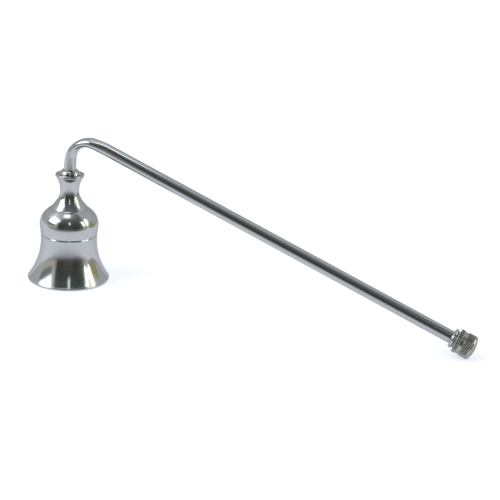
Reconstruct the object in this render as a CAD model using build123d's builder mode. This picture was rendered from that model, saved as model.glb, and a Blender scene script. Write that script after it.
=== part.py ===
from build123d import *
from math import acos, asin, atan2, cos, degrees, hypot, pi, radians, sin, sqrt
import os

# Candle snuffer: a flared bell on a turned neck, a long bent tube as its handle, and a knurled
# knob at the handle's far end. It stands as it lies on a table, on its lip and its knob.
# Millimetres, +Z up. The table is the plane Z = 0 and the origin is the middle of the whole
# object's footprint. The bell's axis is vertical and the handle runs from it towards +X.

# Bell: outside profile, from the lip up to the shoulder
lip_radius = 20.3            # outside of the rounded lip
lip_bead_radius = 0.75       # roundness of the lip
lip_land_width = 0.5         # narrow flat on the lip that rests on the table
waist_radius = 13.95         # narrowest place of the flared skirt
seam_height = 23.8           # where the skirt and the dome are joined
dome_radius = 14.61          # widest place of the dome
shoulder_height = 36.8       # where the neck sits on the dome
shoulder_radius = 9.54
bell_wall = 1.2
lap_height = 2.0             # how far the skirt reaches up inside the dome
seam_edge = 0.2              # broken edge of the dome at the seam
seam_bevel = 0.27            # slope on the skirt's upper edge, which reads as a dark line
seam_bevel_rise = 0.5
skirt_height_shares = (0.0454, 0.168, 0.336, 0.546, 0.756, 0.9, 1.0)       # of the seam height
skirt_flare_shares = (0.9764, 0.703, 0.4027, 0.1413, 0.0227, 0.0033)      # from waist to lip
dome_height_shares = (0.0, 0.17, 0.37, 0.52, 0.63, 0.75, 0.86, 0.935, 1.0)  # seam to shoulder
dome_radius_shares = (0.9667, 0.9813, 1.0, 0.983, 0.9514, 0.8905, 0.8029, 0.7255)

# Neck: one turned piece, from the shoulder to the rim and the round boss that holds the tube
neck_radius = 4.71           # narrowest place
rim_radius = 7.1             # rounded rim, flat on top
rim_height = 53.3            # underside of the rim's edge
rim_band = 1.05              # from there to the rim's flat top
rim_round = 0.6
boss_radius = 5.2            # foot of the boss on the rim's top
boss_height = 2.25
boss_bulge = 0.4             # how far the boss's side stands out from a straight line
boss_top_wall = 0.15         # edge that the boss keeps round the tube
socket_depth = 7.3           # how far the tube stands in the neck
neck_height_shares = (0.0, 0.0721, 0.1937, 0.3152, 0.418, 0.515, 0.747, 0.894, 1.0)
neck_waist_shares = (0.4369, 0.1884, 0.052, 0.0)   # shoulder side, from narrowest to shoulder
neck_rim_shares = (0.16, 0.555, 1.0)                # rim side, from narrowest to rim
neck_shoulder_share = 0.7681                        # first point above the shoulder

# Handle: a drawn tube, bent once and flattened by the bend
tube_radius = 3.0
tube_wall = 1.0
bend_radius = 9.6            # of the tube's centre line
arm_length = 193.5           # straight stretch after the bend
bend_flat_share = 0.29       # share of its thickness that the tube loses in the bend
bend_sink = 1.2              # how far the flattened tube is drawn to the inside of the bend
flat_lead_in = 6.1           # flattened stretch before the bend
flat_run_out = 8.3           # flattened stretch after the bend
bend_stations = 14

# Knob and the loose ring before it
ring_length = 2.0
ring_radius = 4.6
ring_foot_share = 0.82       # radius of the ring's end faces
hub_length = 0.45            # plain neck between the ring and the knurl
hub_radius = 4.0
knob_radius = 5.7            # over the crests of the knurl
knob_inner_round = 0.35
inner_band_length = 1.95
plain_band_length = 1.6
outer_band_length = 3.65
end_round = 1.1              # rounded edge of the knob's end
end_dome_radius = 12.5       # crowning of the knob's end
knurl_count = 33
knurl_depth = 0.36

# Threaded studs, nut and washer, all on one metric thread
thread_radius = 2.0          # over the crests
thread_pitch = 0.7
thread_depth = 0.35
stud_shank = 7.4             # soldered into the tube
knob_thread_length = 5.6     # eight turns hold the knob
knob_bore_spare = 0.5
nut_across_flats = 7.0
nut_height = 3.2
nut_chamfer = 0.4
washer_radius = 4.5
washer_thickness = 0.8
stud_overhang = 0.9          # thread showing past the nut

# Clearances
solder_gap = 0.03            # between pieces that are soldered, on the radius
stud_clearance = 0.1         # stud in the holes that it passes through
thread_clearance = 0.05      # stud in threaded holes, and in the loose ring
face_gap = 0.05              # between the faces of the tube, the loose ring and the knob
overrun = 2.0                # cuts run past their faces by this much

# Worked out from the sizes above
seam_radius = dome_radius * dome_radius_shares[0]
lap_radius = seam_radius - bell_wall / 2
tube_bore = tube_radius - tube_wall
boss_top = rim_height + rim_band + boss_height
tube_foot = boss_top - socket_depth
bend_start = boss_top + flat_lead_in
ring_start = face_gap
hub_start = ring_start + ring_length + face_gap
knurl_start = hub_start + hub_length
plain_start = knurl_start + inner_band_length
outer_start = plain_start + plain_band_length
round_start = outer_start + outer_band_length
stud_reach = hub_start + knob_thread_length

# The crowned end meets its rounded edge where both have the same slope
dome_half_angle = asin((knob_radius - end_round) / (end_dome_radius - end_round))
dome_centre = round_start - (end_dome_radius - end_round) * cos(dome_half_angle)
knob_end = dome_centre + end_dome_radius

# The handle falls by the angle at which the knob's rounded edge just touches the table
across = bend_radius - (knob_radius - end_round)
along = arm_length + round_start
fall = acos((end_round - bend_start) / hypot(across, along)) - atan2(along, across)
bend_turn = pi / 2 + fall

# The bell's axis stands where the object's footprint is centred on the origin
reach = bend_radius * (1 + sin(fall)) + (arm_length + dome_centre) * cos(fall) + end_dome_radius
bell_x = (lip_radius - reach) / 2

bell_profile = Plane(origin=(bell_x, 0, 0), x_dir=(1, 0, 0), z_dir=(0, -1, 0))
bell_axis = Axis((bell_x, 0, 0), (0, 0, 1))
bell_plane = Plane(origin=(bell_x, 0, 0), x_dir=(1, 0, 0), z_dir=(0, 0, 1))

arm_dir = Vector(cos(fall), 0, -sin(fall))
arm_up = Vector(sin(fall), 0, cos(fall))
bend_end = Vector(bell_x + bend_radius * (1 + sin(fall)), 0, bend_start + bend_radius * cos(fall))
arm_end = bend_end + arm_dir * arm_length
arm_profile = Plane(origin=arm_end, x_dir=arm_up, z_dir=arm_up.cross(arm_dir))
arm_axis = Axis(arm_end, arm_dir)
arm_plane = Plane(origin=arm_end, x_dir=arm_up, z_dir=arm_dir)


def skirt_points(inset):
    """Points of the skirt's wall, moved in by inset, from the lip to the seam."""
    flare = lip_radius - waist_radius
    radii = [waist_radius + flare * share for share in skirt_flare_shares] + [seam_radius]
    return [(radius - inset, seam_height * up) for up, radius in zip(skirt_height_shares, radii)]


def dome_points(inset):
    """Points of the dome's wall, moved in by inset, from the seam to the shoulder."""
    radii = [dome_radius * share for share in dome_radius_shares] + [shoulder_radius]
    rise = shoulder_height - seam_height
    return [(radius - inset, seam_height + rise * up)
            for up, radius in zip(dome_height_shares, radii)]


def neck_points():
    """Points of the neck, from the shoulder to the rim."""
    foot = shoulder_radius - neck_radius
    head = rim_radius - neck_radius
    radii = [shoulder_radius, neck_radius + foot * neck_shoulder_share]
    radii += [neck_radius + foot * share for share in neck_waist_shares]
    radii += [neck_radius + head * share for share in neck_rim_shares]
    rise = rim_height - shoulder_height
    return [(radius, shoulder_height + rise * up) for up, radius in zip(neck_height_shares, radii)]


def thread_points(start, turns):
    """Crests and roots of a thread that runs up from start, one pair for each turn."""
    points = []
    for turn in range(turns):
        foot = start + turn * thread_pitch
        points += [(thread_radius - thread_depth, foot), (thread_radius, foot + thread_pitch / 2)]
    return points + [(thread_radius - thread_depth, start + turns * thread_pitch)]


crown_under = shoulder_height - bell_wall
nut_top = crown_under - washer_thickness
nut_under = nut_top - nut_height
bell_thread_turns = int((tube_foot - nut_under + stud_overhang) / thread_pitch) + 1
bell_stud_foot = tube_foot - bell_thread_turns * thread_pitch
knob_thread_turns = int(stud_reach / thread_pitch)

os.makedirs("parts", exist_ok=True)

# Bell skirt: the flared cup that goes over the flame, with a rounded lip
bead_centre = sqrt(lip_bead_radius ** 2 - (lip_land_width / 2) ** 2)
with BuildPart() as bell_skirt:
    with BuildSketch(bell_profile):
        with BuildLine():
            outside = Spline(*skirt_points(0))
            inside = Spline(*skirt_points(bell_wall))
            Line(outside @ 0, inside @ 0)
            Line(outside @ 1, inside @ 1)
        make_face()
        with Locations((lip_radius - lip_bead_radius, bead_centre)):
            Circle(lip_bead_radius)
        with Locations((lip_radius, 0)):
            Rectangle(lip_radius, overrun, align=(Align.CENTER, Align.MAX), mode=Mode.SUBTRACT)
        with Locations((seam_radius - bell_wall, seam_height)):
            Rectangle(bell_wall / 2 - solder_gap, lap_height, align=(Align.MIN, Align.MIN))
        with BuildLine():
            Polyline((seam_radius - seam_bevel, seam_height), (seam_radius + seam_bevel, seam_height),
                     (seam_radius + seam_bevel, seam_height - 2 * seam_bevel_rise), close=True)
        make_face(mode=Mode.SUBTRACT)
    revolve(axis=bell_axis)
bell_skirt.part.label = "bell_skirt"
export_step(bell_skirt.part, "parts/bell_skirt.step")

# Bell dome: the round shoulder of the bell, closed by a crown that the neck stands on
with BuildPart() as bell_dome:
    with BuildSketch(bell_profile):
        with BuildLine():
            outside = Spline(*dome_points(0))
            inside = Spline(*dome_points(bell_wall))
            Line(outside @ 0, inside @ 0)
            Line(outside @ 1, inside @ 1)
        make_face()
        with BuildLine():
            Polyline((0, shoulder_height), (shoulder_radius, shoulder_height),
                     (shoulder_radius, crown_under), (0, crown_under), close=True)
        make_face()
        with BuildLine():
            outside = Spline(*dome_points(0))
            Line(outside @ 1, (0, shoulder_height))
            Line((0, shoulder_height), (0, seam_height))
            Line((0, seam_height), outside @ 0)
        make_face(mode=Mode.INTERSECT)
        with Locations((0, shoulder_height)):
            Rectangle(thread_radius + stud_clearance, bell_wall + overrun,
                      align=(Align.MIN, Align.CENTER), mode=Mode.SUBTRACT)
        with Locations((0, seam_height)):
            Rectangle(lap_radius, lap_height + face_gap, align=(Align.MIN, Align.MIN),
                      mode=Mode.SUBTRACT)
    revolve(axis=bell_axis)
    seam_rim = bell_dome.edges().filter_by(GeomType.CIRCLE).filter_by_position(
        Axis.Z, seam_height - seam_edge / 2, seam_height + seam_edge / 2).sort_by(SortBy.RADIUS)[-1]
    chamfer(seam_rim, seam_edge)
bell_dome.part.label = "bell_dome"
export_step(bell_dome.part, "parts/bell_dome.step")

# Neck: turned in one piece, hollow at the top for the tube and bored for the stud
rim_top = rim_height + rim_band
boss_foot = Vector(boss_radius, rim_top)
boss_end = Vector(tube_radius + solder_gap + boss_top_wall, boss_top)
boss_run = (boss_end - boss_foot).normalized()
boss_middle = (boss_foot + boss_end) / 2 + Vector(boss_run.Y, -boss_run.X) * boss_bulge
with BuildPart() as neck_finial:
    with BuildSketch(bell_profile):
        with BuildLine():
            side = Spline(*neck_points())
            Polyline(side @ 1, (rim_radius, rim_top), boss_foot)
            ThreePointArc(boss_foot, boss_middle, boss_end)
            Polyline(boss_end, (0, boss_top), (0, shoulder_height), side @ 0)
        make_face()
        with Locations((0, boss_top)):
            Rectangle(tube_radius + solder_gap, socket_depth, align=(Align.MIN, Align.MAX),
                      mode=Mode.SUBTRACT)
        with Locations((0, shoulder_height)):
            Rectangle(thread_radius + stud_clearance, boss_top - shoulder_height,
                      align=(Align.MIN, Align.MIN), mode=Mode.SUBTRACT)
    revolve(axis=bell_axis)
    rim_edges = neck_finial.edges().filter_by(GeomType.CIRCLE).filter_by(
        lambda edge: edge.radius > (rim_radius + boss_radius) / 2 and edge.center().Z > tube_foot)
    fillet(rim_edges, rim_round)
neck_finial.part.label = "neck_finial"
export_step(neck_finial.part, "parts/neck_finial.step")


def tube_station(step):
    """Plane across the tube at one of the bend's stations, and how far it is flattened there."""
    half = bend_radius * bend_turn / 2
    before = half + flat_lead_in
    after = half + flat_run_out
    place = -before + (before + after) * step / bend_stations
    turned = min(max((place + half) / bend_radius, 0), bend_turn)
    straight = place - (turned * bend_radius - half)
    flatness = cos(pi / 2 * place / (before if place < 0 else after)) ** 2
    forward = Vector(sin(turned), 0, cos(turned))
    outward = Vector(-cos(turned), 0, sin(turned))
    middle = Vector(bell_x + bend_radius * (1 - cos(turned)), 0, bend_start + bend_radius * sin(turned))
    middle = middle + forward * straight - outward * (bend_sink * flatness)
    return Plane(origin=middle, x_dir=outward, z_dir=forward), flatness


def bent_tube(inset):
    """The bend of the tube, its skin moved in by inset."""
    with BuildPart() as bend:
        for step in range(bend_stations + 1):
            station, flatness = tube_station(step)
            thickness = tube_radius * (1 - bend_flat_share * flatness)
            width = sqrt(2 * tube_radius ** 2 - thickness ** 2)
            with BuildSketch(station):
                Ellipse(thickness - inset, width - inset)
        loft()
    return bend.part


def straight_tube(radius, spare):
    """The tube's two straight stretches as rods, longer by spare at the open ends."""
    last, flatness = tube_station(bend_stations)
    with BuildPart() as rods:
        with BuildSketch(bell_plane.offset(tube_foot - spare)):
            Circle(radius)
        extrude(amount=boss_top - tube_foot + spare)
        with BuildSketch(last):
            Circle(radius)
        extrude(amount=arm_length - flat_run_out + spare)
    return rods.part


# Handle: one tube, soldered into the neck, bent over and running down to the knob
with BuildPart() as arm_tube:
    add(bent_tube(0))
    add(straight_tube(tube_radius, 0))
    add(bent_tube(tube_wall), mode=Mode.SUBTRACT)
    add(straight_tube(tube_bore, overrun), mode=Mode.SUBTRACT)
arm_tube.part.label = "arm_tube"
export_step(arm_tube.part, "parts/arm_tube.step")

# Bell stud: soldered into the tube's foot, it runs down through the neck and the bell's crown
with BuildPart() as bell_stud:
    with BuildSketch(bell_profile):
        with BuildLine():
            thread = Polyline(*thread_points(bell_stud_foot, bell_thread_turns))
            Polyline(thread @ 1, (tube_bore - solder_gap, tube_foot),
                     (tube_bore - solder_gap, tube_foot + stud_shank), (0, tube_foot + stud_shank),
                     (0, bell_stud_foot), thread @ 0)
        make_face()
    revolve(axis=bell_axis)
bell_stud.part.label = "bell_stud"
export_step(bell_stud.part, "parts/bell_stud.step")

# Washer and nut that draw the bell up against the neck, inside the dome
with BuildPart() as crown_washer:
    with BuildSketch(bell_plane.offset(crown_under)):
        Circle(washer_radius)
        Circle(thread_radius + stud_clearance, mode=Mode.SUBTRACT)
    extrude(amount=-washer_thickness)
crown_washer.part.label = "crown_washer"
export_step(crown_washer.part, "parts/crown_washer.step")

nut_corner_radius = nut_across_flats / 2 / cos(pi / 6)
with BuildPart() as crown_nut:
    with BuildSketch(bell_plane.offset(nut_under)):
        RegularPolygon(radius=nut_across_flats / 2, side_count=6, major_radius=False)
    extrude(amount=nut_height)
    with BuildSketch(bell_profile):
        with BuildLine():
            Polyline((0, nut_under), (nut_across_flats / 2, nut_under),
                     (nut_corner_radius, nut_under + nut_chamfer),
                     (nut_corner_radius, nut_top - nut_chamfer), (nut_across_flats / 2, nut_top),
                     (0, nut_top), close=True)
        make_face()
    revolve(axis=bell_axis, mode=Mode.INTERSECT)
    with BuildSketch(bell_plane.offset(nut_under)):
        Circle(thread_radius + thread_clearance)
    extrude(amount=nut_height, mode=Mode.SUBTRACT)
crown_nut.part.label = "crown_nut"
export_step(crown_nut.part, "parts/crown_nut.step")

# Knob stud: soldered into the tube's far end, it carries the loose ring and the knob
with BuildPart() as knob_stud:
    with BuildSketch(arm_profile):
        with BuildLine():
            thread = Polyline(*thread_points(stud_reach - knob_thread_turns * thread_pitch,
                                             knob_thread_turns))
            Polyline(thread @ 0, (tube_bore - solder_gap, 0),
                     (tube_bore - solder_gap, -stud_shank), (0, -stud_shank),
                     (0, stud_reach), thread @ 1)
        make_face()
    revolve(axis=arm_axis)
knob_stud.part.label = "knob_stud"
export_step(knob_stud.part, "parts/knob_stud.step")

# Bead ring: a loose rounded ring on the stud, held between the tube and the knob
with BuildPart() as bead_ring:
    with BuildSketch(arm_profile):
        with BuildLine():
            foot = ring_radius * ring_foot_share
            ThreePointArc((foot, ring_start), (ring_radius, ring_start + ring_length / 2),
                          (foot, ring_start + ring_length))
            Polyline((foot, ring_start + ring_length),
                     (thread_radius + thread_clearance, ring_start + ring_length),
                     (thread_radius + thread_clearance, ring_start), (foot, ring_start))
        make_face()
    revolve(axis=arm_axis)
bead_ring.part.label = "bead_ring"
export_step(bead_ring.part, "parts/bead_ring.step")

# Knob: two knurled bands with a plain band between them, a plain hub and a crowned end
with BuildPart() as knurled_knob:
    with BuildSketch(arm_profile):
        with BuildLine():
            round_middle = knob_radius - end_round
            round_end = (round_middle + end_round * sin(dome_half_angle),
                         round_start + end_round * cos(dome_half_angle))
            middle_angle = pi / 4 + dome_half_angle / 2
            round_way = (round_middle + end_round * sin(middle_angle),
                         round_start + end_round * cos(middle_angle))
            Polyline((0, knob_end), (0, hub_start), (hub_radius, hub_start),
                     (hub_radius, knurl_start), (knob_radius, knurl_start),
                     (knob_radius, round_start))
            ThreePointArc((knob_radius, round_start), round_way, round_end)
            crown_angle = dome_half_angle / 2
            ThreePointArc(round_end, (end_dome_radius * sin(crown_angle),
                                      dome_centre + end_dome_radius * cos(crown_angle)),
                          (0, knob_end))
        make_face()
    revolve(axis=arm_axis)
    inner_edge = knurled_knob.edges().filter_by(GeomType.CIRCLE).filter_by(
        lambda edge: edge.radius > (knob_radius + hub_radius) / 2
        and arm_plane.to_local_coords(edge.center()).Z < plain_start)
    fillet(inner_edge, knob_inner_round)
    with BuildSketch(arm_plane.offset(plain_start)):
        Circle(knob_radius + overrun)
        Circle(knob_radius - knurl_depth, mode=Mode.SUBTRACT)
    extrude(amount=plain_band_length, mode=Mode.SUBTRACT)
    for band_start, band_length in ((knurl_start - overrun, inner_band_length + overrun),
                                    (outer_start, outer_band_length)):
        with BuildSketch(arm_plane.offset(band_start)):
            with PolarLocations(knob_radius, knurl_count):
                Rectangle(knurl_depth * sqrt(2), knurl_depth * sqrt(2), rotation=45)
        extrude(amount=band_length, mode=Mode.SUBTRACT)
    with BuildSketch(arm_plane.offset(hub_start)):
        Circle(thread_radius + thread_clearance)
    extrude(amount=knob_thread_length + knob_bore_spare, mode=Mode.SUBTRACT)
knurled_knob.part.label = "knurled_knob"
export_step(knurled_knob.part, "parts/knurled_knob.step")
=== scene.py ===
from math import acos, asin, atan2, cos, degrees, hypot, pi, radians, sin, sqrt, tan

import bpy
import numpy as np
from mathutils import Matrix, Vector


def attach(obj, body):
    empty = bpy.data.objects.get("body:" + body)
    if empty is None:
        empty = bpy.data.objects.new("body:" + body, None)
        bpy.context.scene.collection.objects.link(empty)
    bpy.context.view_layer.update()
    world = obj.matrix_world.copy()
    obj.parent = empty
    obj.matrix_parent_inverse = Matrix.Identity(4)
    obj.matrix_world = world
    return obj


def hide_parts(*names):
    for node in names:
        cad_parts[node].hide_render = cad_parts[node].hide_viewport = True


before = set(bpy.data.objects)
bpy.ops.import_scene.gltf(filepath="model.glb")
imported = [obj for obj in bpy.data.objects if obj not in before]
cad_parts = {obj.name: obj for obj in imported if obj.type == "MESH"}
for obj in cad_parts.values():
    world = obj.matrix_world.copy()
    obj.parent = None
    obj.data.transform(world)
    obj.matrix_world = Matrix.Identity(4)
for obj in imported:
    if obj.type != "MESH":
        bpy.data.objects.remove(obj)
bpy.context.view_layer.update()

# Sizes of the solid model, in millimetres
lip_radius = 20.3
lip_bead_radius = 0.75
lip_land_width = 0.5
waist_radius = 13.95
seam_height = 23.8
dome_radius = 14.61
shoulder_height = 36.8
shoulder_radius = 9.54
bell_wall = 1.2
lap_height = 2.0
seam_edge = 0.2
seam_bevel_rise = 0.5
skirt_height_shares = (0.0454, 0.168, 0.336, 0.546, 0.756, 0.9, 1.0)
skirt_flare_shares = (0.9764, 0.703, 0.4027, 0.1413, 0.0227, 0.0033)
dome_height_shares = (0.0, 0.17, 0.37, 0.52, 0.63, 0.75, 0.86, 0.935, 1.0)
dome_radius_shares = (0.9667, 0.9813, 1.0, 0.983, 0.9514, 0.8905, 0.8029, 0.7255)
neck_radius = 4.71
rim_radius = 7.1
rim_height = 53.3
rim_band = 1.05
boss_radius = 5.2
boss_height = 2.25
boss_bulge = 0.4
boss_top_wall = 0.15
socket_depth = 7.3
neck_height_shares = (0.0, 0.0721, 0.1937, 0.3152, 0.418, 0.515, 0.747, 0.894, 1.0)
neck_waist_shares = (0.4369, 0.1884, 0.052, 0.0)
neck_rim_shares = (0.16, 0.555, 1.0)
neck_shoulder_share = 0.7681
tube_radius = 3.0
tube_wall = 1.0
bend_radius = 9.6
arm_length = 193.5
bend_flat_share = 0.29
bend_sink = 1.2
flat_lead_in = 6.1
flat_run_out = 8.3
ring_length = 2.0
ring_radius = 4.6
ring_foot_share = 0.82
hub_length = 0.45
hub_radius = 4.0
knob_radius = 5.7
knob_inner_round = 0.35
inner_band_length = 1.95
plain_band_length = 1.6
outer_band_length = 3.65
end_round = 1.1
end_dome_radius = 12.5
knurl_count = 33
knurl_depth = 0.36
thread_radius = 2.0
thread_pitch = 0.7
thread_depth = 0.35
stud_shank = 7.4
knob_thread_length = 5.6
knob_bore_spare = 0.5
nut_height = 3.2
washer_thickness = 0.8
stud_overhang = 0.9
solder_gap = 0.03
stud_clearance = 0.1
thread_clearance = 0.05
face_gap = 0.05

# Fine edges that only the dressed model has, or has a little stronger, in millimetres
seam_bevel = 0.31
shoulder_edge = 0.2
hair_round = 0.05
fine_round = 0.1
lap_round = 0.15
inner_round = 0.3
seam_edge_round = 0.08
shoulder_edge_round = 0.06
rim_under_round = 0.16
rim_top_round = 0.6
rim_fine_round = 0.04
socket_round = 0.2
bore_round = 0.12
bead_margin = 0.02
join_margin = 0.1
lap_foot_margin = 0.4
crown_foot_margin = 0.3
lap_step = 0.15
neck_foot_step = 0.02
stud_bevel = 0.2
tube_foot_edge = 0.2

# The tube's open end: way back from the end, and way in from the outside or out from the bore
tube_last_rings = (0.4, 0.28)
tube_end_outside = ((0.15, 0.0), (0.05, 0.03), (0.012, 0.08), (0.0, 0.15), (0.0, 0.3))
tube_end_bore = ((0.0, 0.3), (0.0, 0.12), (0.04, 0.04), (0.12, 0.0))

# The knurl: way round from a groove's middle and cut below the crest, the last one on the crest
knurl_ways = (0.0, 0.05, 0.30, 0.38)
knurl_cuts = (0.34, 0.31, 0.06, 0.015, 0.0)

# The knob's outline: steps of radius and way, then the share of the knurl where there is one
hub_foot_steps = ((-0.15, 0.0), (-0.04, 0.03), (0.0, 0.12))
hub_head_steps = ((0.0, -0.06), (0.03, -0.01), (0.12, 0.0))
hub_face_share = 0.6
hub_face_margin = 0.12
knurl_face_margin = 0.01
inner_band_ring = 1.1
band_crest_steps = ((0.0, -0.14, 1), (-0.05, -0.04, 0.95))
band_foot_steps = ((0.02, 0.0, 0), (0.0, 0.05, 0), (0.0, 0.2, 0))
outer_band_rings = (1.2, 2.4)
knurl_fade = ((0.45, 1), (0.25, 0.7), (0.08, 0.25), (0.0, 0))
bore_tip = 0.6
bore_last_ring = 0.1
bore_first_ring = 0.3
bore_mouth_flare = 0.2

# How finely the pieces are divided
bell_sides = 192
small_sides = 96
spline_steps = 14
bead_steps = 16
boss_steps = 24
crown_steps = 18
inner_round_steps = 5
end_round_steps = 10
end_dome_steps = 9
foot_rings = 10
bend_rings = 110
arm_rings = 60
thread_rings = 10
thread_crest_width = 1.2
corner_steps = 5
corner_reach = 0.49
run_step = 0.6
run_hold = 0.05
run_short = 0.2
on_axis = 1e-6

# Worked out from them
unit = 0.001
seam_radius = dome_radius * dome_radius_shares[0]
lap_radius = seam_radius - bell_wall / 2
tube_bore = tube_radius - tube_wall
boss_top = rim_height + rim_band + boss_height
tube_foot = boss_top - socket_depth
bend_start = boss_top + flat_lead_in
ring_start = face_gap
hub_start = ring_start + ring_length + face_gap
knurl_start = hub_start + hub_length
plain_start = knurl_start + inner_band_length
outer_start = plain_start + plain_band_length
round_start = outer_start + outer_band_length
stud_reach = hub_start + knob_thread_length
crown_under = shoulder_height - bell_wall
nut_under = crown_under - washer_thickness - nut_height
dome_half_angle = asin((knob_radius - end_round) / (end_dome_radius - end_round))
dome_centre = round_start - (end_dome_radius - end_round) * cos(dome_half_angle)
knob_end = dome_centre + end_dome_radius
across = bend_radius - (knob_radius - end_round)
along = arm_length + round_start
fall = acos((end_round - bend_start) / hypot(across, along)) - atan2(along, across)
bend_turn = pi / 2 + fall
reach = bend_radius * (1 + sin(fall)) + (arm_length + dome_centre) * cos(fall) + end_dome_radius
bell_x = (lip_radius - reach) / 2
bell_foot = Vector((bell_x, 0, 0))
upward = Vector((0, 0, 1))
sideways = Vector((1, 0, 0))
arm_dir = Vector((cos(fall), 0, -sin(fall)))
arm_up = Vector((sin(fall), 0, cos(fall)))
bend_end = Vector((bell_x + bend_radius * (1 + sin(fall)), 0,
                   bend_start + bend_radius * cos(fall)))
arm_end = bend_end + arm_dir * arm_length

# Camera: found from the outlines of the bell, the bend, the handle and the knob
frame_pixels = 500
focal_pixels = 1200
camera_turn = 0.340967
camera_pitch = 0.339512
camera_roll = 0.066764
aim_pixel = (69.218, 226.216)
aim_height = 27.0
aim_distance = 598.534
sensor_width = 36.0
nearest_seen = 0.01
farthest_seen = 20

# Stage: lengths in metres, colours and strengths as the shaders take them
stage_middle = Vector((bell_x, 0, aim_height)) * unit
world_colour = (0.685, 0.71, 0.69, 1)
floor_half = 6.0
floor_gap = 0.00003
floor_cells = 12
floor_grain = 220
floor_shades = (0.60, 0.64)
floor_pale = (0.8, 0.8, 0.8, 1)
floor_glow_colour = (0.97, 1.0, 1.09, 1)
floor_glow = 0.53
card_cell_degrees = 4
sheet_cells = (8, 24)
frame_half_degrees = 2.5

# Metal
noise_range = (0.3, 0.7)
cloud_scale, cloud_detail = 90, 4
line_scale, line_detail = 900, 3
wave_scale, wave_detail = 140, 1
chrome_edge = (0.62, 0.62, 0.63)
ring_lines = (0.15, 0.15, 1)
rod_lines = (0.15, 1, 1)
even_lines = (1, 1, 1)


def make_camera():
    """The photograph's viewpoint."""
    right = Vector((cos(camera_turn), sin(camera_turn), 0))
    ahead = Vector((-sin(camera_turn), cos(camera_turn), 0))
    up = Vector((0, 0, 1))
    forward = ahead * cos(camera_pitch) - up * sin(camera_pitch)
    up = up * cos(camera_pitch) + ahead * sin(camera_pitch)
    turned_right = right * cos(camera_roll) + up * sin(camera_roll)
    turned_up = up * cos(camera_roll) - right * sin(camera_roll)
    middle = frame_pixels / 2
    ray = (turned_right * ((aim_pixel[0] - middle) / focal_pixels)
           - turned_up * ((aim_pixel[1] - middle) / focal_pixels) + forward)
    data = bpy.data.cameras.new("camera")
    data.sensor_width = sensor_width
    data.lens = sensor_width * focal_pixels / frame_pixels
    data.clip_start = nearest_seen
    data.clip_end = farthest_seen
    camera = bpy.data.objects.new("camera", data)
    place = (Vector((bell_x, 0, aim_height)) - ray * aim_distance) * unit
    turn = Matrix((turned_right, turned_up, -forward)).transposed().to_4x4()
    camera.matrix_world = Matrix.Translation(place) @ turn
    bpy.context.scene.collection.objects.link(camera)
    bpy.context.scene.camera = camera


# Shader nodes
def new_material(name):
    """An empty material and its tree of nodes."""
    material = bpy.data.materials.new(name)
    material.use_nodes = True
    material.node_tree.nodes.clear()
    return material, material.node_tree


def feed(tree, target, inputs):
    """Gives a node's inputs plain values or the outputs of other nodes."""
    for key, value in inputs.items():
        if isinstance(value, bpy.types.NodeSocket):
            tree.links.new(value, target.inputs[key])
        else:
            target.inputs[key].default_value = value


def node(tree, kind, inputs=None):
    """A new node with its inputs fed."""
    made = tree.nodes.new(kind)
    feed(tree, made, inputs or {})
    return made


def figure(tree, operation, first, second):
    """The result of an operation on two numbers."""
    made = node(tree, "ShaderNodeMath", {0: first, 1: second})
    made.operation = operation
    return made.outputs[0]


def spread(tree, value, low, high, start=0.0, end=1.0, kind="LINEAR"):
    """A value between start and end, stretched to the range from low to high."""
    made = node(tree, "ShaderNodeMapRange", {"Value": value, "From Min": start, "From Max": end,
                                             "To Min": low, "To Max": high})
    made.interpolation_type = kind
    return made.outputs["Result"]


def mix_colours(tree, factor, low, high):
    """A colour from low, where the factor is 0, to high, where it is 1."""
    made = node(tree, "ShaderNodeMix")
    made.data_type = "RGBA"
    feed(tree, made, {0: factor, 6: low, 7: high})
    return made.outputs[2]


def noise(tree, place, scale, detail, stretch=(1, 1, 1)):
    """Cloudy noise from 0 to 1 over the piece's own coordinates."""
    room = node(tree, "ShaderNodeMapping", {"Vector": place, "Scale": stretch})
    made = node(tree, "ShaderNodeTexNoise",
                {"Vector": room.outputs["Vector"], "Scale": scale, "Detail": detail})
    return made.outputs["Fac"]


def finish_material(material, shader):
    """The material with the shader as its surface."""
    node(material.node_tree, "ShaderNodeOutputMaterial", {"Surface": shader.outputs[0]})
    return material


def new_object(name, verts, faces, material, smooth=True):
    """A mesh object of the given points and faces in one material."""
    mesh = bpy.data.meshes.new(name)
    mesh.from_pydata([tuple(v) for v in verts], [], faces)
    mesh.validate()
    if smooth:
        mesh.polygons.foreach_set("use_smooth", [True] * len(mesh.polygons))
    mesh.materials.append(material)
    mesh.update()
    made = bpy.data.objects.new(name, mesh)
    bpy.context.scene.collection.objects.link(made)
    return made


def grid_faces(wide, tall):
    """Faces of a grid of wide by tall cells, whose points come row by row."""
    row = wide + 1
    return [(j * row + i, j * row + i + 1, (j + 1) * row + i + 1, (j + 1) * row + i)
            for j in range(tall) for i in range(wide)]


# Stage: a pale floor, a pale world, soft lamps, and cards that only the metal sees
def direction(azimuth, elevation):
    """Unit direction from the bell, azimuth from the camera's side, positive to its right."""
    turn = camera_turn + radians(azimuth)
    rise = radians(elevation)
    return Vector((sin(turn) * cos(rise), -cos(turn) * cos(rise), sin(rise)))


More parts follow.
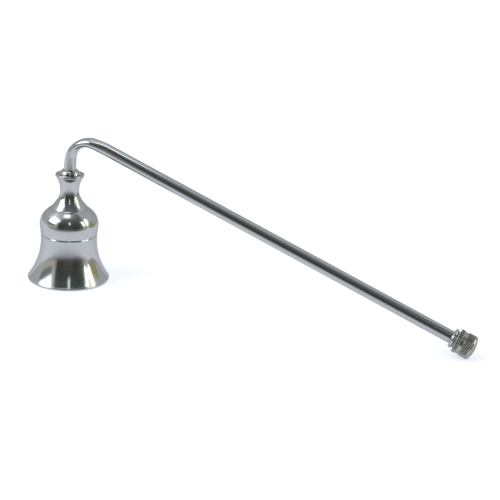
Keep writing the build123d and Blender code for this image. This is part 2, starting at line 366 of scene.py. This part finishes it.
def floor_material():
    """White to the eye and in the metal, with the lamps' soft shadow kept on it."""
    material, tree = new_material("floor")
    path = node(tree, "ShaderNodeLightPath").outputs
    seen = figure(tree, "MAXIMUM", path["Is Camera Ray"], path["Is Glossy Ray"])
    seen = figure(tree, "MAXIMUM", seen, path["Is Transmission Ray"])
    grain = node(tree, "ShaderNodeTexNoise", {"Scale": floor_grain})
    shade = spread(tree, grain.outputs["Fac"], *floor_shades)
    matt = node(tree, "ShaderNodeBsdfDiffuse", {"Color": shade})
    glow = node(tree, "ShaderNodeEmission", {"Color": floor_glow_colour, "Strength": floor_glow})
    both = node(tree, "ShaderNodeAddShader", {0: matt.outputs[0], 1: glow.outputs[0]})
    pale = node(tree, "ShaderNodeBsdfDiffuse", {"Color": floor_pale})
    mix = node(tree, "ShaderNodeMixShader", {0: seen, 1: pale.outputs[0], 2: both.outputs[0]})
    return finish_material(material, mix)


def make_floor():
    """A square floor just under the object."""
    steps = [floor_half * (2 * i / floor_cells - 1) for i in range(floor_cells + 1)]
    verts = [(x, y, -floor_gap) for y in steps for x in steps]
    faces = grid_faces(floor_cells, floor_cells)
    floor = new_object("floor", verts, faces, floor_material(), smooth=False)


def card_material(name, low, high, soft, rise):
    """Soft-edged card. Its colour goes from low at the bottom to high at the top."""
    material, tree = new_material(name)
    place = node(tree, "ShaderNodeUVMap")
    place.uv_map = "place"
    split = node(tree, "ShaderNodeSeparateXYZ", {0: place.outputs["UV"]}).outputs
    edge = None
    for axis, margin in enumerate(soft):
        for start, end in ((0.0, margin), (1.0, 1.0 - margin)):
            fade = spread(tree, split[axis], 0.0, 1.0, start, end, "SMOOTHSTEP")
            edge = fade if edge is None else figure(tree, "MULTIPLY", edge, fade)
    climb = figure(tree, "POWER", split[1], rise)
    glow = node(tree, "ShaderNodeEmission",
                {"Color": mix_colours(tree, climb, (*low, 1), (*high, 1))})
    clear = node(tree, "ShaderNodeBsdfTransparent")
    mix = node(tree, "ShaderNodeMixShader", {0: edge, 1: clear.outputs[0], 2: glow.outputs[0]})
    return finish_material(material, mix)


def hang_card(name, wide, tall, place, material):
    """A card that only the metal sees, with its corners where place puts them."""
    shares = [(i / wide, j / tall) for j in range(tall + 1) for i in range(wide + 1)]
    card = new_object(name, [place(u, v) for u, v in shares], grid_faces(wide, tall), material)
    layer = card.data.uv_layers.new(name="place")
    for loop in card.data.loops:
        layer.data[loop.index].uv = shares[loop.vertex_index]
    card.visible_camera = False
    card.visible_diffuse = False
    card.visible_shadow = False
    card.visible_transmission = False


def make_card(name, azimuths, elevations, away, low, high, soft, rise=1.0, cut=0):
    """A curved card between two azimuths and two elevations, its right foot cut by cut degrees."""
    def place(u, v):
        turn = azimuths[0] + (azimuths[1] - azimuths[0] - cut * (1 - v)) * u
        lift = elevations[0] + (elevations[1] - elevations[0]) * v
        return stage_middle + direction(turn, lift) * away

    wide = max(2, int(abs(azimuths[1] - azimuths[0]) / card_cell_degrees))
    tall = max(2, int(abs(elevations[1] - elevations[0]) / card_cell_degrees))
    hang_card(name, wide, tall, place, card_material(name, low, high, soft, rise))


def make_sheet(name, sides, ways, height, soft, low, high=None):
    """A level card: sides to the camera's right, ways towards the camera, in millimetres.

    Its colour goes from low at the start of its ways to high, or stays low.
    """
    right = direction(90, 0)
    near = direction(0, 0)

    def place(u, v):
        spot = (right * (sides[0] + (sides[1] - sides[0]) * u)
                + near * (ways[0] + (ways[1] - ways[0]) * v))
        return (Vector((bell_x, 0, 0)) + spot) * unit + Vector((0, 0, height * unit))

    hang_card(name, *sheet_cells, place, card_material(name, low, high or low, soft, 1.0))


def make_lamp(name, azimuths, elevations, away, glow, colour):
    """A soft lamp that fills a window of the sky, with the brightness that the metal shows."""
    middle_turn = (azimuths[0] + azimuths[1]) / 2
    middle_rise = (elevations[0] + elevations[1]) / 2
    aim = direction(middle_turn, middle_rise)
    data = bpy.data.lights.new(name, "AREA")
    data.shape = "RECTANGLE"
    half_turn = radians(azimuths[1] - azimuths[0]) * cos(radians(middle_rise)) / 2
    half_rise = radians(elevations[1] - elevations[0]) / 2
    data.size = 2 * away * tan(half_turn)
    data.size_y = 2 * away * tan(half_rise)
    data.energy = glow * pi * data.size * data.size_y
    data.color = colour
    lamp = bpy.data.objects.new(name, data)
    side = Vector((0, 0, 1)).cross(aim).normalized()
    turn = Matrix((side, aim.cross(side), aim)).transposed().to_4x4()
    lamp.matrix_world = Matrix.Translation(stage_middle + aim * away) @ turn
    lamp.visible_camera = False
    bpy.context.scene.collection.objects.link(lamp)


def make_world():
    """A pale, even world."""
    world = bpy.data.worlds.new("studio")
    world.use_nodes = True
    back = world.node_tree.nodes["Background"]
    back.inputs["Color"].default_value = world_colour
    back.inputs["Strength"].default_value = 1.0
    bpy.context.scene.world = world


def make_stage():
    """Floor, world, cards and lamps, placed where the metal in the photograph shows them."""
    make_floor()
    make_world()
    make_card("dark_wall", (-42, 66), (-2, 76), 5.0,
              (0.070, 0.081, 0.072), (0.26, 0.30, 0.287), (0.07, 0.10), 2.5)
    make_card("wall_foot", (-48, 70), (-3, 15), 1.95,
              (0.112, 0.124, 0.112), (0.058, 0.066, 0.052), (0.12, 0.15), 0.6)
    make_card("dark_right", (58, 90), (46, 76), 5.05,
              (0.16, 0.175, 0.165), (0.26, 0.285, 0.275), (0.12, 0.12), 1.5)
    make_card("dark_ceiling", (-52, 112), (62, 89), 5.1,
              (0.33, 0.35, 0.35), (0.48, 0.50, 0.50), (0.16, 0.2))
    # Painted shade: sheets only the metal sees darken the floor towards the camera, the far part
    # most
    make_sheet("table_front_shade", (-1600, 1600), (25, 3000), -0.02, (0.02, 0.064), (0.40, 0.40, 0.40))
    make_sheet("table_far_shade", (-1600, 1600), (250, 3000), -0.01, (0.02, 0.15),
               (0.167, 0.172, 0.172))
    make_sheet("table_brown", (95, 240), (90, 450), -0.008, (0.25, 0.2), (0.155, 0.128, 0.105))
    # Painted shadow: a sheet only the metal sees darkens the floor right of the bell, on the far
    # side
    make_sheet("table_right_shadow", (130, 1600), (-600, 5), -0.015, (0.06, 0.12), (0.42, 0.42, 0.43))
    make_sheet("top_light", (-122, 52), (30, 122), 450, (0.3, 0.3), (3.2, 3.5, 3.2))
    make_sheet("top_back", (-160, 120), (-300, 40), 460, (0.3, 0.3),
               (1.0, 1.04, 1.03), (1.1, 1.14, 1.12))
    make_card("warm_left", (-90, -42), (-4, 12), 1.9,
              (0.66, 0.64, 0.50), (0.74, 0.72, 0.40), (0.2, 0.3))
    make_card("shelf_left", (-94, -46), (8.5, 23.5), 1.85,
              (0.20, 0.235, 0.21), (0.24, 0.28, 0.30), (0.2, 0.3))
    make_card("warm_right", (80, 122), (-8, 19), 1.9,
              (0.50, 0.46, 0.30), (0.51, 0.46, 0.19), (0.25, 0.25))
    make_card("door_right", (46, 62), (-6, 27), 1.8,
              (0.20, 0.17, 0.11), (0.16, 0.12, 0.08), (0.3, 0.25))
    make_card("door_left", (-44, -34), (-4, 18), 1.8,
              (0.55, 0.45, 0.34), (0.50, 0.38, 0.26), (0.3, 0.25))
    for number, turn in enumerate((-6, 3, 12, 20)):
        sides = (turn - frame_half_degrees, turn + frame_half_degrees)
        make_card("frame_%d" % number, sides, (-6, 26), 1.75,
                  (0.27, 0.19, 0.11), (0.20, 0.14, 0.08), (0.4, 0.3))
    make_card("glow_left", (-120, -46), (28, 68), 3.4,
              (1.18, 1.23, 1.27), (1.09, 1.14, 1.17), (0.25, 0.3))
    make_card("window_far", (82.5, 104), (6, 45), 1.6,
              (4.0, 4.3, 2.9), (4.0, 4.3, 2.9), (0.03, 0.03), cut=17)
    make_lamp("softbox_left", (-90, -47), (22.5, 54), 3.0, 3.55, (0.93, 0.98, 1.0))
    make_lamp("window_near", (67, 80), (10.5, 40), 3.0, 3.9, (0.96, 1.0, 0.84))
    make_card("strip_over_camera", (7.5, 13.5), (28.5, 52), 4.8,
              (2.3, 2.6, 2.35), (2.2, 2.5, 2.3), (0.25, 0.12))


# Materials
def metal(name, low, high, edge, rough, wave_depth, line_stretch, groove_shade=None):
    """Polished metal with a faint tint, uneven polish, fine lines and a slight waviness."""
    material, tree = new_material(name)
    place = node(tree, "ShaderNodeTexCoord").outputs["Object"]
    cloud = spread(tree, noise(tree, place, cloud_scale, cloud_detail), 0, 1, *noise_range)
    colour = mix_colours(tree, cloud, (*low, 1), (*high, 1))
    lines = noise(tree, place, line_scale, line_detail, line_stretch)
    polish = spread(tree, lines, *rough, *noise_range)
    # Painted shade in the knurl's grooves: colour darkened towards groove_shade by cut depth
    if groove_shade is not None:
        depth = node(tree, "ShaderNodeAttribute")
        depth.attribute_name = "depth"
        colour = mix_colours(tree, depth.outputs["Fac"], colour, (*groove_shade, 1))
    wave = noise(tree, place, wave_scale, wave_detail)
    bump = node(tree, "ShaderNodeBump", {"Strength": 1.0, "Distance": wave_depth, "Height": wave})
    surface = node(tree, "ShaderNodeBsdfPrincipled",
                   {"Base Color": colour, "Roughness": polish, "Metallic": 1.0,
                    "Specular Tint": (*edge, 1), "Normal": bump.outputs["Normal"]})
    return finish_material(material, surface)


# Outlines and turned pieces
def smooth_line(points):
    """Cubic spline through points, divided into spline_steps steps between neighbours."""
    p = np.array(points, float)
    t = np.concatenate([[0], np.cumsum(np.linalg.norm(np.diff(p, axis=0), axis=1))])
    count = len(p)

    def end_slope(i, j, k):
        a, b = t[j] - t[i], t[k] - t[i]
        return ((p[j] - p[i]) * b / a - (p[k] - p[i]) * a / b) / (b - a)

    system = np.zeros((count, count))
    right = np.zeros((count, 2))
    system[0, 0] = system[-1, -1] = 1
    right[0] = end_slope(0, 1, 2)
    right[-1] = end_slope(count - 1, count - 2, count - 3)
    for i in range(1, count - 1):
        before, after = t[i] - t[i - 1], t[i + 1] - t[i]
        system[i, i - 1] = after
        system[i, i] = 2 * (before + after)
        system[i, i + 1] = before
        right[i] = 3 * (after * (p[i] - p[i - 1]) / before + before * (p[i + 1] - p[i]) / after)
    slope = np.linalg.solve(system, right)
    line = []
    for i in range(count - 1):
        step = t[i + 1] - t[i]
        for s in np.arange(spline_steps) / spline_steps:
            line.append((2 * s ** 3 - 3 * s ** 2 + 1) * p[i]
                        + (s ** 3 - 2 * s ** 2 + s) * step * slope[i]
                        + (3 * s ** 2 - 2 * s ** 3) * p[i + 1]
                        + (s ** 3 - s ** 2) * step * slope[i + 1])
    line.append(p[-1])
    return [tuple(q) for q in line]


def arc(centre, radius, start, end, count):
    """Points on a circle from start to end, angles from the first axis, in degrees."""
    angles = [radians(start + (end - start) * i / count) for i in range(count + 1)]
    return [(centre[0] + radius * cos(a), centre[1] + radius * sin(a)) for a in angles]


def soften(corners):
    """Closed outline: corners rounded by the size given with them, and long runs divided."""
    points = [Vector((c[0], c[1])) for c in corners]
    sizes = [c[2] if len(c) > 2 else 0 for c in corners]
    count = len(points)
    bends = []
    for i, (here, size) in enumerate(zip(points, sizes)):
        if size == 0:
            bends.append([here])
            continue
        back = points[i - 1] - here
        forth = points[(i + 1) % count] - here
        back = back.normalized() * min(size, back.length * corner_reach)
        forth = forth.normalized() * min(size, forth.length * corner_reach)
        shares = [k / corner_steps for k in range(corner_steps + 1)]
        bends.append([here + back * (1 - s) ** 2 + forth * s ** 2 for s in shares])
    line = []
    for i, bend in enumerate(bends):
        line += bend
        start, end = bend[-1], bends[(i + 1) % count][0]
        length = (end - start).length
        if length > run_short:
            near = run_hold / length
            parts = int(length / run_step)
            shares = [near, 3 * near] + [k / parts for k in range(1, parts)]
            shares += [1 - 3 * near, 1 - near]
            shares = sorted(s for s in set(shares) if near <= s <= 1 - near)
            line += [start + (end - start) * s for s in shares]
    return [(v[0], v[1]) for v in line]


def skin(rows, closed):
    """Faces between neighbouring rings of points, with three corners at a point on the axis."""
    sides = len(rows[0])
    faces = []
    for j in range(len(rows) if closed else len(rows) - 1):
        low, high = rows[j], rows[(j + 1) % len(rows)]
        for k in range(sides):
            n = (k + 1) % sides
            face = [low[k], low[n], high[n], high[k]]
            face = [v for i, v in enumerate(face) if v != face[i - 1]]
            if len(face) > 2:
                faces.append(face)
    return faces


def turned(name, outline, foot, axis, side, sides, material, closed=True, swell=None):
    """A turned piece: the outline (radius, way along the axis) goes round the axis."""
    other = axis.cross(side)
    rows, verts = [], []
    for radius, way in outline:
        if radius < on_axis:
            rows.append([len(verts)] * sides)
            verts.append((foot + axis * way) * unit)
            continue
        rows.append(list(range(len(verts), len(verts) + sides)))
        for k in range(sides):
            angle = 2 * pi * k / sides
            spoke = side * cos(angle) + other * sin(angle)
            far = radius if swell is None else swell(radius, way, k)
            verts.append((foot + axis * way + spoke * far) * unit)
    return new_object(name, verts, skin(rows, closed), material)


# Pieces
def skirt_points(inset):
    """Points of the cup's outside, from the lip up to the seam, moved in by inset."""
    flare = lip_radius - waist_radius
    radii = [waist_radius + flare * share for share in skirt_flare_shares] + [seam_radius]
    return [(radius - inset, seam_height * up) for up, radius in zip(skirt_height_shares, radii)]


def dome_points(inset):
    """Points of the round part's outside, from the seam up to the shoulder, moved in by inset."""
    radii = [dome_radius * share for share in dome_radius_shares] + [shoulder_radius]
    rise = shoulder_height - seam_height
    return [(radius - inset, seam_height + rise * up)
            for up, radius in zip(dome_height_shares, radii)]


def neck_points():
    """Points of the neck's outside, from the shoulder up to the rim."""
    foot = shoulder_radius - neck_radius
    head = rim_radius - neck_radius
    radii = [shoulder_radius, neck_radius + foot * neck_shoulder_share]
    radii += [neck_radius + foot * share for share in neck_waist_shares]
    radii += [neck_radius + head * share for share in neck_rim_shares]
    rise = rim_height - shoulder_height
    return [(radius, shoulder_height + rise * up)
            for up, radius in zip(neck_height_shares, radii)]


def make_skirt():
    """The flared cup: outside wall, sloped edge at the seam, lap, inside wall and rounded lip."""
    bead_middle = (lip_radius - lip_bead_radius,
                   sqrt(lip_bead_radius ** 2 - (lip_land_width / 2) ** 2))

    def clear_of_bead(point):
        away = hypot(point[0] - bead_middle[0], point[1] - bead_middle[1])
        return away > lip_bead_radius + bead_margin

    outside = [q for q in smooth_line(skirt_points(0)) if clear_of_bead(q)]
    inside = [q for q in smooth_line(skirt_points(bell_wall)) if clear_of_bead(q)]
    first = degrees(atan2(outside[0][1] - bead_middle[1], outside[0][0] - bead_middle[0]))
    last = degrees(atan2(inside[0][1] - bead_middle[1], inside[0][0] - bead_middle[0]))
    land = degrees(asin(lip_land_width / 2 / lip_bead_radius))
    bead = arc(bead_middle, lip_bead_radius, last - 360, -90 - land, bead_steps)
    bead += arc(bead_middle, lip_bead_radius, -90 + land, first, bead_steps)
    bevel_foot = seam_height - seam_bevel_rise
    lap_top = seam_height + lap_height
    top = [q for q in outside if q[1] < bevel_foot - join_margin]
    corners = bead + top
    corners += [(top[-1][0], bevel_foot, fine_round),
                (seam_radius - seam_bevel, seam_height, hair_round),
                (lap_radius - solder_gap, seam_height, hair_round),
                (lap_radius - solder_gap, lap_top, lap_round),
                (seam_radius - bell_wall, lap_top, lap_round),
                (seam_radius - bell_wall, seam_height, inner_round)]
    corners += [q for q in reversed(inside) if q[1] < seam_height - lap_foot_margin]
    return turned("bell_cup", soften(corners), bell_foot, upward, sideways, bell_sides,
                  bell_chrome)


def make_dome():
    """The round upper part with its crown, a fine edge at the seam and one under the neck."""
    outside = smooth_line(dome_points(0))
    inside = smooth_line(dome_points(bell_wall))
    hole = thread_radius + stud_clearance
    edge = shoulder_edge
    inner_seam = seam_height + lap_height + face_gap
    corners = [(seam_radius - seam_edge, seam_height, hair_round),
               (seam_radius, seam_height + seam_edge, seam_edge_round)]
    corners += [q for q in outside
                if seam_height + seam_edge + join_margin < q[1] < shoulder_height - 2 * edge]
    corners += [(shoulder_radius + edge, shoulder_height - edge, shoulder_edge_round),
                (shoulder_radius - edge, shoulder_height, shoulder_edge_round),
                (hole, shoulder_height, fine_round), (hole, crown_under, fine_round)]
    crown = [q for q in reversed(inside) if q[1] < crown_under]
    corners += [(crown[0][0], crown_under, inner_round)]
    corners += [q for q in crown[1:] if q[1] > inner_seam + crown_foot_margin]
    corners += [(seam_radius - bell_wall + lap_step, inner_seam, hair_round),
                (lap_radius, inner_seam, hair_round), (lap_radius, seam_height, hair_round)]
    return turned("bell_shoulder", soften(corners), bell_foot, upward, sideways, bell_sides,
                  bell_chrome)


def make_neck():
    """The turned neck: foot, waist, flat-topped rim, boss and the tube's socket."""
    side = smooth_line(neck_points())
    edge = shoulder_edge
    hole = thread_radius + stud_clearance
    socket = tube_radius + solder_gap
    corners = [(shoulder_radius - edge, shoulder_height, shoulder_edge_round),
               (side[2][0] + neck_foot_step, shoulder_height + edge, shoulder_edge_round)]
    corners += [q for q in side[1:-2] if q[1] > shoulder_height + 2 * edge]
    rim_top = rim_height + rim_band
    foot = Vector((boss_radius, rim_top))
    run = Vector((socket + boss_top_wall, boss_top)) - foot
    swell = Vector((run.y, -run.x)).normalized() * boss_bulge
    boss = [foot + run * s + swell * (4 * s * (1 - s)) for s in np.linspace(0, 1, boss_steps + 1)]
    corners += [(rim_radius, rim_height, rim_under_round), (rim_radius, rim_top, rim_top_round),
                (boss_radius, rim_top, hair_round)]
    corners += [tuple(q) for q in boss[1:-1]]
    corners += [(*boss[-1], rim_fine_round), (socket, boss_top, rim_fine_round),
                (socket, tube_foot, socket_round), (hole, tube_foot, fine_round),
                (hole, shoulder_height, fine_round)]
    return turned("neck", soften(corners), bell_foot, upward, sideways, bell_sides, neck_chrome)


def tube_place(place):
    """Middle, outward direction and how flat the tube is, at a way along its centre line."""
    half = bend_radius * bend_turn / 2
    before = half + flat_lead_in
    after = half + flat_run_out
    turned_by = min(max((place + half) / bend_radius, 0), bend_turn)
    straight = place - (turned_by * bend_radius - half)
    share = min(max(place / (before if place < 0 else after), -1), 1)
    flatness = cos(pi / 2 * share) ** 2
    forward = Vector((sin(turned_by), 0, cos(turned_by)))
    outward = Vector((-cos(turned_by), 0, sin(turned_by)))
    middle = Vector((bell_x + bend_radius * (1 - cos(turned_by)), 0,
                     bend_start + bend_radius * sin(turned_by)))
    middle = middle + forward * straight - outward * (bend_sink * flatness)
    return middle, outward, flatness


def make_tube():
    """The handle: a round tube, flattened over the bend, open at its far end."""
    half = bend_radius * bend_turn / 2
    start = -half - flat_lead_in
    bent_end = half + flat_run_out
    end = half + arm_length
    foot = start - (boss_top - tube_foot)
    places = list(np.linspace(foot, start, foot_rings)[:-1])
    places += list(np.linspace(start, bent_end, bend_rings)[:-1])
    places += list(np.linspace(bent_end, end - tube_last_rings[0], arm_rings))
    places += [end - tube_last_rings[1]]
    rims = [(place, 0.0) for place in places]
    rims += [(end - back, inset) for back, inset in tube_end_outside]
    rims += [(end - back, tube_wall - spare) for back, spare in tube_end_bore]
    rims += [(place, tube_wall) for place in reversed(places)]
    rims += [(foot, tube_wall - tube_foot_edge), (foot, tube_foot_edge)]
    sides = small_sides
    verts = []
    for place, inset in rims:
        middle, outward, flatness = tube_place(place)
        thickness = tube_radius * (1 - bend_flat_share * flatness)
        width = sqrt(2 * tube_radius ** 2 - thickness ** 2)
        for k in range(sides):
            angle = 2 * pi * k / sides
            verts.append((middle + outward * ((thickness - inset) * cos(angle))
                          + Vector((0, 1, 0)) * ((width - inset) * sin(angle))) * unit)
    faces = []
    rows = len(rims)
    for j in range(rows):
        for k in range(sides):
            n, m = (k + 1) % sides, (j + 1) % rows
            faces.append((j * sides + k, m * sides + k, m * sides + n, j * sides + n))
    return new_object("handle_tube", verts, faces, tube_chrome)


def make_ring():
    """The rounded ring between the handle and the knob."""
    foot = ring_radius * ring_foot_share
    rise = ring_radius - foot
    half = ring_length / 2
    radius = (half ** 2 + rise ** 2) / (2 * rise)
    half_angle = degrees(asin(half / radius))
    crown = arc((ring_radius - radius, ring_start + half), radius, -half_angle, half_angle,
                crown_steps)
    hole = thread_radius + thread_clearance
    corners = [(*crown[0], rim_fine_round)] + crown[1:-1] + [(*crown[-1], rim_fine_round)]
    corners += [(hole, ring_start + ring_length, bore_round), (hole, ring_start, bore_round)]
    return turned("ring", soften(corners), arm_end, arm_dir, arm_up, small_sides, ring_chrome)


def knob_outline():
    """The knob's closed outline: radius, way along the axis and the share of the knurl's depth."""
    hole = thread_radius + thread_clearance
    bore_end = hub_start + knob_thread_length + knob_bore_spare
    low = knob_radius - knurl_depth
    line = [(0, bore_end + bore_tip, 0), (hole / 2, bore_end + bore_tip / 2, 0),
            (hole, bore_end, 0), (hole, bore_end - bore_last_ring, 0),
            (hole, hub_start + bore_first_ring, 0), (hole + bore_mouth_flare, hub_start, 0),
            (hub_radius * hub_face_share, hub_start, 0)]
    line += [(hub_radius + out, hub_start + way, 0) for out, way in hub_foot_steps]
    line += [(hub_radius + out, knurl_start + way, 0) for out, way in hub_head_steps]
    line += [(low - hub_face_margin, knurl_start, 0),
             (knob_radius - knob_inner_round - knurl_face_margin, knurl_start, 1)]
    for k in range(1, inner_round_steps + 1):
        angle = pi / 2 * k / inner_round_steps
        line.append((knob_radius - knob_inner_round * (1 - sin(angle)),
                     knurl_start + knob_inner_round * (1 - cos(angle)), 1))
    line.append((knob_radius, knurl_start + inner_band_ring, 1))
    band_end = [(knob_radius + out, way, share) for out, way, share in band_crest_steps]
    band_end += [(low + out, way, share) for out, way, share in band_foot_steps]
    line += [(radius, plain_start + way, share) for radius, way, share in band_end]
    line += [(radius, outer_start - way, share) for radius, way, share in reversed(band_end)]
    line += [(knob_radius, outer_start + way, 1) for way in outer_band_rings]
    line += [(knob_radius, round_start - back, share) for back, share in knurl_fade]
    turn = 90 - degrees(dome_half_angle)
    rounding = arc((knob_radius - end_round, round_start), end_round, 0, turn, end_round_steps)
    line += [(radius, way, 0) for radius, way in rounding[1:]]
    for k in range(1, end_dome_steps):
        angle = dome_half_angle * (1 - k / end_dome_steps)
        line.append((end_dome_radius * sin(angle), dome_centre + end_dome_radius * cos(angle), 0))
    return line + [(0, knob_end, 0)]


def make_knob():
    """The knob: two knurled bands, the plain groove between them and a crowned smooth end."""
    pitch = 2 * pi * knob_radius / knurl_count
    offsets = [*knurl_ways, pitch / 2] + [pitch - way for way in reversed(knurl_ways[1:])]
    cuts = knurl_cuts + knurl_cuts[-2:0:-1]
    sides = knurl_count * len(offsets)
    other = arm_dir.cross(arm_up)
    verts, rows, depths = [], [], []
    for radius, way, share in knob_outline():
        if radius < on_axis:
            rows.append([len(verts)] * sides)
            verts.append((arm_end + arm_dir * way) * unit)
            depths.append(0)
            continue
        rows.append(list(range(len(verts), len(verts) + sides)))
        for number in range(knurl_count):
            for offset, cut in zip(offsets, cuts):
                angle = (number * pitch + offset) / knob_radius
                far = min(radius, knob_radius - cut * share) if share else radius
                spoke = arm_up * cos(angle) + other * sin(angle)
                verts.append((arm_end + arm_dir * way + spoke * far) * unit)
                depths.append(share * cut / knurl_depth)
    made = new_object("knob", verts, skin(rows, closed=False), knob_chrome)
    # Each point's share of the knurl's cut depth, which the knob's metal turns into painted shade
    layer = made.data.attributes.new("depth", "FLOAT", "POINT")
    layer.data.foreach_set("value", depths)
    return made


def make_stud(name, foot, axis, side, start, end):
    """A stud: its plain shank in the tube, then a helical thread from start to its free end."""
    shank = tube_bore - solder_gap
    root = thread_radius - thread_depth

    def crest(radius, way, k):
        if way <= start or way >= end:
            return radius
        phase = (way / thread_pitch - k / small_sides) % 1
        rise = min(1, thread_crest_width * (1 - abs(2 * phase - 1)))
        fade = min((way - start) / thread_pitch, (end - way) / thread_pitch, 1)
        return radius + thread_depth * rise * fade

    outline = [(0, -stud_shank), (shank - stud_bevel, -stud_shank),
               (shank, stud_bevel - stud_shank), (shank, -stud_bevel), (shank - stud_bevel, 0)]
    count = int(round((end - start) / thread_pitch * thread_rings))
    outline += [(root, way) for way in np.linspace(start, end - stud_bevel, count)]
    outline += [(root - stud_bevel, end), (0, end)]
    return turned(name, outline, foot, axis, side, small_sides, steel, closed=False, swell=crest)


make_camera()
bpy.context.scene.view_settings.view_transform = "Standard"
make_stage()

bell_chrome = metal("bell_chrome", (0.435, 0.445, 0.470), (0.452, 0.462, 0.487), chrome_edge,
                    (0.11, 0.17), 0.000004, ring_lines)
neck_chrome = metal("neck_chrome", (0.435, 0.445, 0.468), (0.452, 0.462, 0.485), chrome_edge,
                    (0.10, 0.16), 0.000003, ring_lines)
tube_chrome = metal("tube_chrome", (0.435, 0.445, 0.472), (0.452, 0.462, 0.490), chrome_edge,
                    (0.10, 0.15), 0.000003, rod_lines)
# The knob's metal gets painted shade in the knurl's grooves, darkening with cut depth
knob_chrome = metal("knob_chrome", (0.38, 0.385, 0.36), (0.44, 0.44, 0.41), (0.60, 0.60, 0.58),
                    (0.22, 0.31), 0.000003, even_lines, groove_shade=(0.14, 0.14, 0.13))
ring_chrome = metal("ring_chrome", (0.43, 0.44, 0.45), (0.50, 0.51, 0.53), chrome_edge,
                    (0.08, 0.14), 0.000003, even_lines)
steel = metal("bright_steel", (0.42, 0.42, 0.43), (0.50, 0.50, 0.51), (0.7, 0.7, 0.7),
              (0.20, 0.34), 0.000002, ring_lines)

cup = make_skirt()
shoulder = make_dome()
neck = make_neck()
tube = make_tube()
ring = make_ring()
knob = make_knob()
bell_turns = int((tube_foot - nut_under + stud_overhang) / thread_pitch) + 1
knob_turns = int(stud_reach / thread_pitch)
bell_stud = make_stud("bell_stud_thread", bell_foot + upward * tube_foot, -upward, sideways,
                      0, bell_turns * thread_pitch)
knob_stud = make_stud("knob_stud_thread", arm_end, arm_dir, arm_up,
                      stud_reach - knob_turns * thread_pitch, stud_reach)

for piece, body, node_name, slot in ((cup, "snuffer", "bell_skirt", "bell_chrome"),
                                     (shoulder, "snuffer", "bell_dome", "bell_chrome"),
                                     (neck, "snuffer", "neck_finial", "neck_chrome"),
                                     (tube, "snuffer", "arm_tube", "tube_chrome"),
                                     (bell_stud, "snuffer", "bell_stud", "bright_steel"),
                                     (knob_stud, "snuffer", "knob_stud", "bright_steel"),
                                     (ring, "ring", "bead_ring", "ring_chrome"),
                                     (knob, "knob", "knurled_knob", "knob_chrome")):
    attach(piece, body)
    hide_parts(node_name)

for node_name in ("crown_nut", "crown_washer"):
    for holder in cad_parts[node_name].material_slots:
        holder.material = steel
